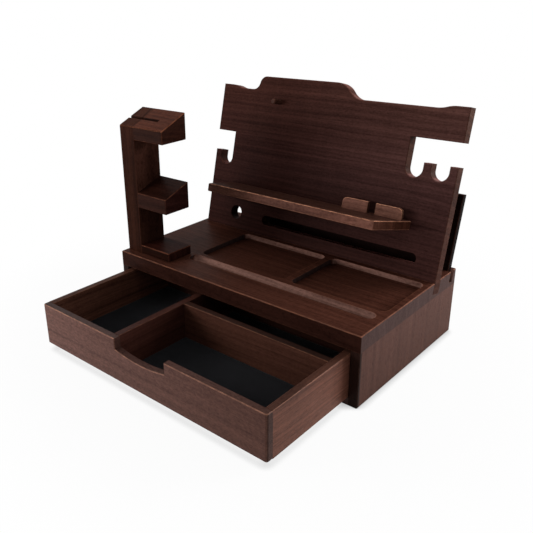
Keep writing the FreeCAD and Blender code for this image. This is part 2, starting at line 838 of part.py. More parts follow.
def make_back_dowels(document, s):
    half = drawer_half(s) - s["drawer_wall"]
    back = drawer_front(s) + drawer_depth(s) - s["drawer_wall"] / 2
    low = drawer_low(s)
    start = s["drawer_dowel_length"] / 2
    places = [(way * half - start, back, low + z) for way in (-1, 1) for z in corner_heights(s)]
    pin = (s["drawer_dowel_diameter"], s["drawer_dowel_length"])
    return DowelGroup(document, "drawer_back_dowels", "X", places, *pin)


# ------------------------------------------------------ the leaning panels


def panel_frame(s, front):
    """The frame of a panel: x along the slab, z up the panel's leaning face."""
    return (0, case_front(s) + front, s["case_height"], s["panel_tilt"])


def notch_down_up(shape, from_x, to_x, top, floor):
    """Run right to left down into a notch with a half-round floor and up again."""
    radius = (from_x - to_x) / 2
    shape.line(from_x, floor + radius)
    shape.arc(to_x, floor + radius, to_x + radius, floor + radius, clockwise=True)
    return shape.line(to_x, top)


def panel_outline(s):
    """The main panel, anticlockwise from its lower left corner."""
    left = case_left(s) + s["panel_inset"]
    right = case_right(s)
    top = s["panel_top"]
    foot = -panel_seat(s, s["panel_thick"], s["main_slot_floor"])
    body_right = right - s["right_arm_length"]
    body_left = left + s["left_arm_length"]
    saddle = top - s["saddle_drop"]
    tip = top - s["tip_drop"]
    shape = Outline(left, foot).line(right, foot)

    prong = top - s["right_prong_drop"]
    floor = prong - s["notch_depth"]
    outer_notch_right = right - s["outer_prong_width"]
    outer_notch_left = outer_notch_right - s["notch_width"]
    inner_notch_right = body_right + s["notch_width"]
    shape.line(right, prong).line(outer_notch_right, prong)
    notch_down_up(shape, outer_notch_right, outer_notch_left, prong, floor)
    shape.line(inner_notch_right, prong)
    notch_down_up(shape, inner_notch_right, body_right, top - s["right_arm_drop"], floor)

    shape.line(right, top - s["right_arm_drop"]).line(right, tip)
    shape.line(right - s["tip_width"], tip)
    shape.s_curve(right - s["tip_width"] - s["tip_rise_width"], saddle)
    top_right = right - s["top_right_inset"]
    shape.line(top_right + s["shoulder_width"], saddle).s_curve(top_right, top)

    top_left = case_left(s) + s["top_left_inset"]
    shape.line(top_left, top).s_curve(top_left - s["left_shoulder_width"], saddle)
    shape.line(left + s["tip_width"] + s["tip_rise_width"], saddle)
    shape.s_curve(left + s["tip_width"], tip).line(left, tip)
    shape.line(left, top - s["left_arm_drop"]).line(body_left, top - s["left_arm_drop"])

    prong = top - s["left_prong_drop"]
    notch_down_up(shape, body_left, left + s["left_prong_width"], prong, prong - s["left_notch_depth"])
    return shape.line(left, prong)


def shelf_dowels(s):
    """Places of the shelf's dowels along the panel, and their height up it."""
    middle = s["shelf_top"] - s["shelf_thick"] / 2
    left = case_left(s) + s["shelf_dowel_left"]
    right = case_right(s) - s["shelf_dowel_right"]
    return [(left, middle), (right, middle)]


def peg_place(s):
    return case_left(s) + s["peg_inset"], s["panel_top"] - s["peg_drop"]


def make_main_panel(document, s):
    thick = s["panel_thick"]
    panel = Piece(document, "main_panel")
    panel.place(*panel_frame(s, main_panel_front(s)))
    panel.pad("XZ", panel_outline(s), 0, thick)
    panel.bevel(all_of(any_of(level("Y", 0), level("Y", thick)), above("Z", 0)), s["edge_bevel"])
    slot_left = case_left(s) + s["cable_slot_left"]
    slot_right = case_right(s) - s["cable_slot_right"]
    slot_low = s["cable_slot_low"]
    slot = long_hole(slot_left, slot_low, slot_right, slot_low + s["cable_slot_high"])
    panel.pocket("XZ", slot, 0, thick)
    hole = [(case_left(s) + s["cable_hole_inset"], s["cable_hole_up"])]
    panel.drill("XZ", hole, 0, thick, s["cable_hole_diameter"])
    peg_bore = s["peg_diameter"] + 2 * s["dowel_fit"]
    panel.drill("XZ", [peg_place(s)], 0, s["peg_in"] + s["dowel_end_gap"], peg_bore)
    bore, deep = dowel_hole(s)
    panel.drill("XZ", shelf_dowels(s), 0, deep, bore)
    return panel


def make_rear_panel(document, s):
    thick = s["rear_thick"]
    left = case_left(s) + s["rear_left_inset"]
    right = case_right(s) - s["rear_right_inset"]
    foot = -panel_seat(s, thick, s["rear_slot_floor"])
    panel = Piece(document, "rear_panel")
    panel.place(*panel_frame(s, rear_panel_front(s)))
    panel.pad("XZ", rectangle(left, foot, right, s["rear_top"]), 0, thick)
    panel.bevel(all_of(any_of(level("Y", 0), level("Y", thick)), above("Z", 0)), s["edge_bevel"])
    return panel


def make_shelf(document, s):
    top = s["shelf_top"]
    thick = s["shelf_thick"]
    low = top - thick
    front = -s["shelf_depth"]
    rear_half = case_right(s) - s["shelf_inset"]
    front_half = rear_half - s["shelf_taper"]
    shelf = Piece(document, "phone_shelf")
    shelf.place(*panel_frame(s, main_panel_front(s)))
    outline = Outline(-front_half, front).line(front_half, front).line(rear_half, 0)
    shelf.pad("XY", outline.line(-rear_half, 0), low, thick)
    shelf.bevel(all_of(any_of(level("Z", low), level("Z", top)), below("Y", 0)), s["edge_bevel"])
    plug_x = case_right(s) - s["phone_inset"]
    plug_half = s["plug_slot_width"] / 2
    plug_back = -s["plug_slot_gap"]
    plug_front = plug_back - s["plug_slot_depth"]
    shelf.pocket("XY", long_hole(plug_x - plug_half, plug_front, plug_x + plug_half, plug_back), low, thick)
    bore, deep = dowel_hole(s)
    shelf.drill("XZ", shelf_dowels(s), -deep, deep, bore)
    return shelf


def make_lip(document, s, name, way):
    middle = case_right(s) - s["phone_inset"]
    inner = middle + way * s["lip_inner"]
    outer = middle + way * s["lip_outer"]
    low = s["shelf_top"]
    high = low + s["lip_height"]
    corner = s["lip_corner"]
    bend = outer - way * corner
    shape = Outline(inner, low).line(outer, low).line(outer, high - corner)
    shape.arc(bend, high, bend, high - corner, clockwise=way < 0).line(inner, high)
    back = -s["lip_back"]
    front = back - s["lip_thick"]
    lip = Piece(document, name)
    lip.place(*panel_frame(s, main_panel_front(s)))
    lip.pad("XZ", shape, front, s["lip_thick"])
    return lip.bevel(all_of(any_of(level("Y", front), level("Y", back)), above("Z", low)), s["wall_bevel"])


def make_ring_peg(document, s):
    out = s["peg_out"]
    peg = Piece(document, "ring_peg")
    peg.place(*panel_frame(s, main_panel_front(s)))
    peg.rod("XZ", [peg_place(s)], -out, out + s["peg_in"], s["peg_diameter"])
    peg.bevel(level("Y", -out), s["peg_bevel"])
    return peg


def make_shelf_dowels(document, s):
    places = [(x, -s["dowel_length"] / 2, z) for x, z in shelf_dowels(s)]
    group = DowelGroup(document, "shelf_dowels", "Y", places, s["dowel_diameter"], s["dowel_length"])
    group.place(*panel_frame(s, main_panel_front(s)))
    return group


# --------------------------------------------------------- the watch stand


def stand_frame(s):
    """The stand's frame: its left front corner on the slab."""
    return (case_left(s) + s["stand_inset"], case_front(s) + s["stand_front"], s["case_height"])


def sloped_outline(s, under, front, rise):
    """Side view of a block whose top slopes up to the back."""
    depth = s["stand_depth"]
    return Outline(0, under).line(depth, under).line(depth, front + rise).line(0, front)


def lead_groove(s):
    """Side view of the groove across the stand's sloping top."""
    near = s["lead_groove_front"]
    slope = s["upper_arm_rise"] / s["stand_depth"]
    floor = s["upper_arm_front"] + near * slope - s["lead_groove_depth"]
    above_top = s["upper_arm_front"] + s["upper_arm_rise"] + s["lead_groove_depth"]
    return rectangle(near, floor, near + s["lead_groove_width"], above_top)


def arm_dowels(s, arm):
    """Places of the dowels between the post and its lower or upper arm."""
    middle = (s[f"{arm}_arm_under"] + s[f"{arm}_arm_front"]) / 2
    return [(y, middle) for y in stand_dowel_rows(s)]


def make_post(document, s):
    wide = s["post_width"]
    post = Piece(document, "watch_post")
    post.place(*stand_frame(s))
    profile = sloped_outline(s, 0, s["upper_arm_front"], s["upper_arm_rise"])
    post.pad("YZ", profile, 0, wide)
    outer_left = all_of(level("X", 0), above("Z", 0))
    top_edges = all_of(along("X"), above("Z", s["upper_arm_under"]))
    post.bevel(any_of(outer_left, top_edges), s["edge_bevel"])
    post.pocket("YZ", lead_groove(s), 0, wide)
    bore, deep = dowel_hole(s)
    post.drill("YZ", arm_dowels(s, "lower") + arm_dowels(s, "upper"), wide - deep, deep, bore)
    post.drill("XY", post_dowels(s), 0, deep, bore)
    return post


def make_stand_block(document, s, name, profile):
    """A block that stands out to the right of the post."""
    arm = Piece(document, name)
    arm.place(*stand_frame(s))
    start = s["post_width"]
    arm.pad("YZ", profile, start, s["arm_length"])
    far_end = level("X", start + s["arm_length"])
    arm.bevel(any_of(far_end, along("X")), s["edge_bevel"])
    return arm


def make_foot(document, s):
    """The foot, glued flat to the slab."""
    return make_stand_block(document, s, "watch_foot", sloped_outline(s, 0, s["foot_height"], 0))


def make_lower_arm(document, s):
    profile = sloped_outline(s, s["lower_arm_under"], s["lower_arm_front"], s["lower_arm_rise"])
    arm = make_stand_block(document, s, "watch_lower_arm", profile)
    bore, deep = dowel_hole(s)
    return arm.drill("YZ", arm_dowels(s, "lower"), s["post_width"], deep, bore)


def make_upper_arm(document, s):
    profile = sloped_outline(s, s["upper_arm_under"], s["upper_arm_front"], s["upper_arm_rise"])
    arm = make_stand_block(document, s, "watch_upper_arm", profile)
    arm.pocket("YZ", lead_groove(s), s["post_width"], s["lead_groove_run"])
    bore, deep = dowel_hole(s)
    return arm.drill("YZ", arm_dowels(s, "upper"), s["post_width"], deep, bore)


def make_arm_dowels(document, s):
    start = s["post_width"] - s["dowel_length"] / 2
    places = [(start, y, z) for arm in ("lower", "upper") for y, z in arm_dowels(s, arm)]
    group = DowelGroup(document, "watch_arm_dowels", "X", places, s["dowel_diameter"], s["dowel_length"])
    group.place(*stand_frame(s))
    return group


def make_post_dowels(document, s):
    places = [(x, y, -s["dowel_length"] / 2) for x, y in post_dowels(s)]
    group = DowelGroup(document, "watch_post_dowels", "Z", places, s["dowel_diameter"], s["dowel_length"])
    group.place(*stand_frame(s))
    return group


# ------------------------------------------------------------------- build


def build(document, s):
    pieces = [
        make_top_slab(document, s),
        make_case_side(document, s, "case_left_side", -1),
        make_case_side(document, s, "case_right_side", 1),
        make_case_bottom(document, s),
        make_case_back(document, s),
        make_case_dowels(document, s),
        make_drawer_front(document, s),
        make_drawer_side(document, s, "drawer_left_side", -1),
        make_drawer_side(document, s, "drawer_right_side", 1),
        make_drawer_back(document, s),
        make_drawer_bottom(document, s),
        make_long_divider(document, s),
        make_cross_divider(document, s),
        make_front_dowels(document, s),
        make_back_dowels(document, s),
        make_main_panel(document, s),
        make_rear_panel(document, s),
        make_shelf(document, s),
        make_lip(document, s, "phone_lip_left", -1),
        make_lip(document, s, "phone_lip_right", 1),
        make_ring_peg(document, s),
        make_shelf_dowels(document, s),
        make_post(document, s),
        make_foot(document, s),
        make_lower_arm(document, s),
        make_upper_arm(document, s),
        make_arm_dowels(document, s),
        make_post_dowels(document, s),
    ]
    pieces += [make_liner(document, s, name) for name in compartments(s)]
    return [piece.thing for piece in pieces]


def check(document, made):
    """Stop before anything is written if an object failed or a shape is bad."""
    document.recompute()
    for item in document.Objects:
        if "Invalid" in item.State or "Error" in item.State:
            raise RuntimeError(f"{item.Label} failed: {item.State}")
    for piece in made:
        if piece.Shape.isNull() or not piece.Shape.isValid():
            raise RuntimeError(f"{piece.Label} has no valid shape")


def main():
    document = FreeCAD.newDocument("valet_box")
    made = build(document, write_sheet(document))
    check(document, made)
    os.makedirs("parts", exist_ok=True)
    for piece in made:
        piece.Shape.exportStep(os.path.join("parts", f"{piece.Label}.step"))
    print(len(made), "parts written")


main()
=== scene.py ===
"""A dark walnut valet box: a case with trays, leaning panels, a watch stand and a drawer."""

import math

import bpy
from mathutils import Matrix, Vector, noise


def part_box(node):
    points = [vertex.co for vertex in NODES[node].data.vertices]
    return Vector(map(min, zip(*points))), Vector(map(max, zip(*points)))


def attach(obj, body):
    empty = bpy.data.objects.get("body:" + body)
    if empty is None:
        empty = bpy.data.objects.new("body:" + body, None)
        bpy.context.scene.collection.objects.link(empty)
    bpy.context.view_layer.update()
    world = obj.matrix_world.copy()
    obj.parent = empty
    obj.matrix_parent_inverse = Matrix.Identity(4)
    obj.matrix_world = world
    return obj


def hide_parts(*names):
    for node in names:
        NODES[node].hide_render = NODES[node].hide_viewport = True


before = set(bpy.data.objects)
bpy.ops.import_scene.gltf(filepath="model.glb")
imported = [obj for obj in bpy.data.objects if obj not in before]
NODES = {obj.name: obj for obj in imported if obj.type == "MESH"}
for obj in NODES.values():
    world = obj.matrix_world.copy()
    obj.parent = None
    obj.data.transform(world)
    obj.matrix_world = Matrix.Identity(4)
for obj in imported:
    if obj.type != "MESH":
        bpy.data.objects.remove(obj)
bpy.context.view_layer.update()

RIGHT = Vector((1, 0, 0))
BACK = Vector((0, 1, 0))
UP = Vector((0, 0, 1))
AXES = {"x": RIGHT, "y": BACK, "z": UP}
WHITE = (1, 1, 1, 1)


# Camera, lights and floor. Lengths are in metres.

EYE = (0.43447, -0.57799, 0.38177)
YAW, PITCH, ROLL = (math.radians(angle) for angle in (43.15, 22.03, -1.70))
PICTURE_SIDE = 533  # pixels, like the next two
FOCAL_LENGTH = 656.78
OPTICAL_CENTRE = (214.48, 251.58)
SENSOR_WIDTH = 36  # millimetres
CLIP_START, CLIP_END = 0.01, 50

# Name, place, what it points at, size and power in watts.
LIGHTS = (
    ("key", (-0.62, -0.82, 0.32), (-0.08, -0.2, 0.04), (0.55, 0.45), 5.8),
    ("right_fill", (0.75, 0.78, 0.42), (0.14, -0.08, 0.05), (0.55, 0.55), 14),
    ("top", (0.1, -0.3, 1.6), (0, 0, 0.05), (1.4, 1.2), 2.2),
)
ROOM_LIGHT = 0.24  # strength of the white that lights the object from all round

FLOOR_REACH = 6  # half the floor's side
FLOOR_DROP = 0.0002  # keeps the floor clear of the object's underside
FLOOR_GREY = (0.86, 0.86, 0.86, 1)
FADE_START, FADE_END = 0.24, 0.46  # distances from the origin over which the floor fades
WHITE_NEAR, WHITE_FAR = 0.95, 1  # share of plain white before and after the fade
CONTACT_REACH = 0.012  # how far the painted contact shadow round the object's foot spreads
CONTACT_SAMPLES = 16
CONTACT_HIDDEN, CONTACT_OPEN = 0.1, 0.85  # occlusion values that give the next two strengths
CONTACT_DARK, CONTACT_LIGHT = 0.3, 1


def add_camera():
    """The camera that took the photograph, as fitted to the object's edges in it."""
    ahead = Vector((
        -math.sin(YAW) * math.cos(PITCH),
        math.cos(YAW) * math.cos(PITCH),
        -math.sin(PITCH),
    ))
    right = ahead.cross(UP).normalized()
    up = right.cross(ahead)
    right_rolled = right * math.cos(ROLL) + up * math.sin(ROLL)
    up_rolled = up * math.cos(ROLL) - right * math.sin(ROLL)
    turn = Matrix((right_rolled, up_rolled, -ahead)).transposed()
    data = bpy.data.cameras.new("camera")
    data.sensor_fit = "HORIZONTAL"
    data.sensor_width = SENSOR_WIDTH
    data.lens = FOCAL_LENGTH / PICTURE_SIDE * SENSOR_WIDTH
    data.shift_x = (PICTURE_SIDE / 2 - OPTICAL_CENTRE[0]) / PICTURE_SIDE
    data.shift_y = (OPTICAL_CENTRE[1] - PICTURE_SIDE / 2) / PICTURE_SIDE
    data.clip_start = CLIP_START
    data.clip_end = CLIP_END
    camera = bpy.data.objects.new("camera", data)
    camera.matrix_world = Matrix.Translation(Vector(EYE)) @ turn.to_4x4()
    bpy.context.scene.collection.objects.link(camera)
    bpy.context.scene.camera = camera


def add_light(name, place, aim, size, power):
    data = bpy.data.lights.new(name, "AREA")
    data.shape = "RECTANGLE"
    data.size, data.size_y = size
    data.energy = power
    lamp = bpy.data.objects.new(name, data)
    lamp.location = place
    direction = Vector(aim) - Vector(place)
    lamp.rotation_euler = direction.to_track_quat("-Z", "Y").to_euler()
    bpy.context.scene.collection.objects.link(lamp)


class Tree:
    """Short calls for building the node tree of a world or a material."""

    def __init__(self, owner):
        owner.use_nodes = True
        self.nodes = owner.node_tree.nodes
        self.links = owner.node_tree.links
        self.nodes.clear()

    def put(self, socket, value):
        """Link a socket to another one, or set it to a constant."""
        if isinstance(value, bpy.types.NodeSocket):
            self.links.new(value, socket)
        else:
            socket.default_value = value

    def math(self, operation, first, second=0.0, third=None):
        node = self.nodes.new("ShaderNodeMath")
        node.operation = operation
        self.put(node.inputs[0], first)
        self.put(node.inputs[1], second)
        if third is not None:
            self.put(node.inputs[2], third)
        return node.outputs[0]

    def ramp(self, value, low, high, bottom=0.0, top=1.0, smooth=False):
        """From the bottom at the low value to the top at the high one, and level beyond them."""
        node = self.nodes.new("ShaderNodeMapRange")
        node.clamp = True
        if smooth:
            node.interpolation_type = "SMOOTHSTEP"
        self.put(node.inputs["Value"], value)
        node.inputs["From Min"].default_value = low
        node.inputs["From Max"].default_value = high
        node.inputs["To Min"].default_value = bottom
        node.inputs["To Max"].default_value = top
        return node.outputs["Result"]

    def seen(self):
        """1 for rays from the camera and from mirror-like or clear surfaces."""
        path = self.nodes.new("ShaderNodeLightPath")
        rays = path.outputs["Is Camera Ray"]
        for kind in ("Is Glossy Ray", "Is Transmission Ray"):
            rays = self.math("MAXIMUM", rays, path.outputs[kind])
        return rays

    def plain_white(self, kind, strength):
        """A background or emission shader."""
        node = self.nodes.new(kind)
        node.inputs["Color"].default_value = WHITE
        self.put(node.inputs["Strength"], strength)
        return node.outputs[0]

    def mix_shaders(self, share, first, second):
        node = self.nodes.new("ShaderNodeMixShader")
        self.links.new(share, node.inputs["Fac"])
        self.links.new(first, node.inputs[1])
        self.links.new(second, node.inputs[2])
        return node.outputs[0]

    def finish(self, kind, surface):
        output = self.nodes.new(kind)
        self.links.new(surface, output.inputs["Surface"])


def add_world():
    """Soft light from all round, and plain white where the world itself is seen."""
    world = bpy.data.worlds.new("studio")
    bpy.context.scene.world = world
    tree = Tree(world)
    room = tree.plain_white("ShaderNodeBackground", ROOM_LIGHT)
    backdrop = tree.plain_white("ShaderNodeBackground", 1)
    tree.finish("ShaderNodeOutputWorld", tree.mix_shaders(tree.seen(), room, backdrop))


def floor_material():
    material = bpy.data.materials.new("pale_floor")
    tree = Tree(material)
    matt = tree.nodes.new("ShaderNodeBsdfDiffuse")
    matt.inputs["Color"].default_value = FLOOR_GREY
    # Painted contact shadow: the plain white is dimmed where the object is near.
    painted_contact_shadow = tree.nodes.new("ShaderNodeAmbientOcclusion")
    painted_contact_shadow.samples = CONTACT_SAMPLES
    painted_contact_shadow.inputs["Distance"].default_value = CONTACT_REACH
    strength = tree.ramp(painted_contact_shadow.outputs["AO"], CONTACT_HIDDEN, CONTACT_OPEN,
                         CONTACT_DARK, CONTACT_LIGHT)
    white = tree.plain_white("ShaderNodeEmission", strength)
    coordinates = tree.nodes.new("ShaderNodeTexCoord")
    away = tree.nodes.new("ShaderNodeVectorMath")
    away.operation = "LENGTH"
    tree.links.new(coordinates.outputs["Object"], away.inputs[0])
    fade = tree.ramp(away.outputs["Value"], FADE_START, FADE_END, WHITE_NEAR, WHITE_FAR,
                     smooth=True)
    share = tree.math("MULTIPLY", tree.seen(), fade)
    surface = tree.mix_shaders(share, matt.outputs[0], white)
    tree.finish("ShaderNodeOutputMaterial", surface)
    return material


def add_floor():
    """A pale floor that fades to plain white away from the object and keeps its shadow."""
    corners = [(FLOOR_REACH * x, FLOOR_REACH * y, 0)
               for x, y in ((-1, -1), (1, -1), (1, 1), (-1, 1))]
    mesh = bpy.data.meshes.new("floor")
    mesh.from_pydata(corners, [], [(0, 1, 2, 3)])
    mesh.materials.append(floor_material())
    floor = bpy.data.objects.new("floor", mesh)
    floor.location.z = -FLOOR_DROP
    bpy.context.scene.collection.objects.link(floor)


# Materials. Noise scales are per metre, and colours are sRGB bytes.

# Numbers of the colour sockets of a Mix node, whose names are shared with its other sockets.
MIX_SHARE, MIX_FIRST, MIX_SECOND, MIX_RESULT = 0, 6, 7, 2

# Noise drawn out along the fibres: how many times longer, scale, detail and roughness.
DRAWN_OUT = {
    "sway": (3, 4.5, 2, 0.5),
    "quiver": (5, 38, 2, 0.5),
    "broad": (4, 16, 2, 0.5),
    "streaks": (38, 340, 3, 0.6),
    "fibres": (30, 1100, 3, 0.6),
    "flecks": (9, 1500, 2, 0.5),
}
DEEPER = 4  # times longer through the board than across it
RING_SLANT = 0.22  # how fast the rings shift through the board
RING_SWAY, RING_QUIVER = 0.06, 0.0042  # metres
RING_STEP = 0.831  # metres from one board's rings to the next board's
RINGS = {"scale": 135, "detail": 5, "rough": 0.68}
SEED_SHIFT = (0.37, 0.53, 0.71)  # from one board's noise to the next board's
RIPPLE_SHAPE, RIPPLE = (1, 0.2, 0.3), {"scale": 85, "detail": 3}
CLOUD_SHAPE, CLOUD = (0.7, 1, 1), {"scale": 420, "detail": 4, "rough": 0.7}
PATCHES = {"scale": 110, "detail": 4, "rough": 0.7}
# What the figure is made of, besides the cloud, whose share is wood()'s mottle.
SHARES = {"rings": 0.42, "broad": 0.16, "streaks": 0.26, "fibres": 0.08, "ripple": 0.08}
FIGURE_LOW, FIGURE_HIGH = 0.4, 0.6  # values drawn as the darkest and the lightest wood
# How far the darkest and the lightest wood leave the mean colour, in shares of the spread.
DARKEST = (-1, -1.05, -1.05)
LIGHTEST = (1, 1.15, 1.2)

PORES_START, PORES_END = 0.57, 0.67  # values of the flecks that are pores
PORES_SHARE, PORES_TINT = 0.4, (0.25, 0.2, 0.2)
FACING_START, FACING_END = 0.6, 0.85  # cosines from which a face's share of painted light and shade sets in
CUT_START, CUT_END = 0.85, 0.95  # the same for the cut ends
BEVEL_START, BEVEL_END = 0.93, 0.8  # the largest cosine to the board's axes that a bevel has
# Painted shade in inside corners, and lighter bevels and plain edges, partly rubbing and partly
# painted highlight: how many metres each reaches, and the nearness values between which it sets
# in.
CREASE_REACH, CREASE_START, CREASE_END = 0.008, 0.1, 0.5
RIM_REACH, RIM_START, RIM_END = 0.002, 0.02, 0.1
ARRIS_REACH, ARRIS_START, ARRIS_END = 0.0012, 0.2, 0.45
CREASE_TONE = 0.7  # share of the colour that is left in inside corners, as painted shade
TOP_EDGE_START, TOP_EDGE_END = 0.1, 0.5  # cosines from which an edge counts as facing up and gets all of its painted highlight
OTHER_EDGES = 0.3  # share of the rubbing and painted highlight on edges that don't
PATCH_START, PATCH_END = 0.38, 0.58
LEAST_WEAR_AND_HIGHLIGHT = 0.3  # share of the rubbing and painted highlight between the patches
RUBBED_AND_HIGHLIT_GREEN = 1.14  # edges lightened by rubbing and painted highlight are this much greener than the stain
AO_SAMPLES = 8

ROUGHNESS = 0.32  # of the varnish, and what these add to it:
ROUGHER = {"fibres": 0.2, "pores": 0.12, "rubbed_and_highlit": 0.08}
RELIEF_SHARE, RELIEF_DEPTH, RELIEF_STRENGTH = 0.8, 0.0001, 0.5


def srgb(red, green, blue):
    """A colour written in sRGB bytes, as linear RGBA."""
    linear = []
    for value in (red, green, blue):
        share = value / 255
        linear.append(share / 12.92 if share <= 0.04045 else ((share + 0.055) / 1.055) ** 2.4)
    return (*linear, 1)


def times(colour, red, green, blue):
    return (colour[0] * red, colour[1] * green, colour[2] * blue, 1)


class Surface(Tree):
    """The node tree of a material with one Principled shader."""

    def __init__(self, name):
        self.material = bpy.data.materials.new(name)
        super().__init__(self.material)
        self.shader = self.nodes.new("ShaderNodeBsdfPrincipled")
        self.finish("ShaderNodeOutputMaterial", self.shader.outputs[0])
        self.coordinates = self.nodes.new("ShaderNodeTexCoord")

    def along(self, direction, of="Object"):
        """The part of a coordinate or of the normal that lies along a direction."""
        node = self.nodes.new("ShaderNodeVectorMath")
        node.operation = "DOT_PRODUCT"
        self.links.new(self.coordinates.outputs[of], node.inputs[0])
        node.inputs[1].default_value = direction
        return node.outputs["Value"]

    def board(self, length, width, depth):
        """Coordinates along the fibres, across the board and through it."""
        node = self.nodes.new("ShaderNodeCombineXYZ")
        for socket, axis in zip(node.inputs, (length, width, depth)):
            self.links.new(self.along(axis), socket)
        return node.outputs["Vector"]

    def place(self, vector, shift, scale):
        """A vector scaled and then moved."""
        mapping = self.nodes.new("ShaderNodeMapping")
        mapping.vector_type = "POINT"
        mapping.inputs["Location"].default_value = shift
        mapping.inputs["Scale"].default_value = scale
        self.links.new(vector, mapping.inputs["Vector"])
        return mapping.outputs["Vector"]

    def noise(self, vector, scale, detail=3, rough=0.5):
        return self.fill_noise("3D", "Vector", vector, scale, detail, rough)

    def layers(self, value, scale, detail, rough):
        """Noise that varies in one direction only."""
        return self.fill_noise("1D", "W", value, scale, detail, rough)

    def fill_noise(self, dimensions, socket, place, scale, detail, rough):
        node = self.nodes.new("ShaderNodeTexNoise")
        node.noise_dimensions = dimensions
        self.links.new(place, node.inputs[socket])
        node.inputs["Scale"].default_value = scale
        node.inputs["Detail"].default_value = detail
        node.inputs["Roughness"].default_value = rough
        return node.outputs["Fac"]

    def blend(self, share, first, second):
        node = self.nodes.new("ShaderNodeMix")
        node.data_type = "RGBA"
        self.put(node.inputs[MIX_SHARE], share)
        self.put(node.inputs[MIX_FIRST], first)
        self.put(node.inputs[MIX_SECOND], second)
        return node.outputs[MIX_RESULT]

    def shade(self, colour, share, first, last):
        """A colour times a value, or a tint, that goes from the first to the last."""
        node = self.nodes.new("ShaderNodeVectorMath")
        node.operation = "MULTIPLY"
        self.links.new(colour, node.inputs[0])
        first, last = (v if isinstance(v, tuple) else (v, v, v) for v in (first, last))
        self.links.new(self.blend(share, (*first, 1), (*last, 1)), node.inputs[1])
        return node.outputs[0]

    def near(self, reach, inside):
        """From 0 to about 0.5 at outside edges, if inside is True, or else at inside corners."""
        node = self.nodes.new("ShaderNodeAmbientOcclusion")
        node.inside = inside
        node.only_local = True
        node.samples = AO_SAMPLES
        node.inputs["Distance"].default_value = reach
        return self.math("SUBTRACT", 1.0, node.outputs["AO"])

    def bump(self, height, distance, strength):
        node = self.nodes.new("ShaderNodeBump")
        node.inputs["Strength"].default_value = strength
        node.inputs["Distance"].default_value = distance
        self.links.new(height, node.inputs["Height"])
        self.links.new(node.outputs["Normal"], self.shader.inputs["Normal"])


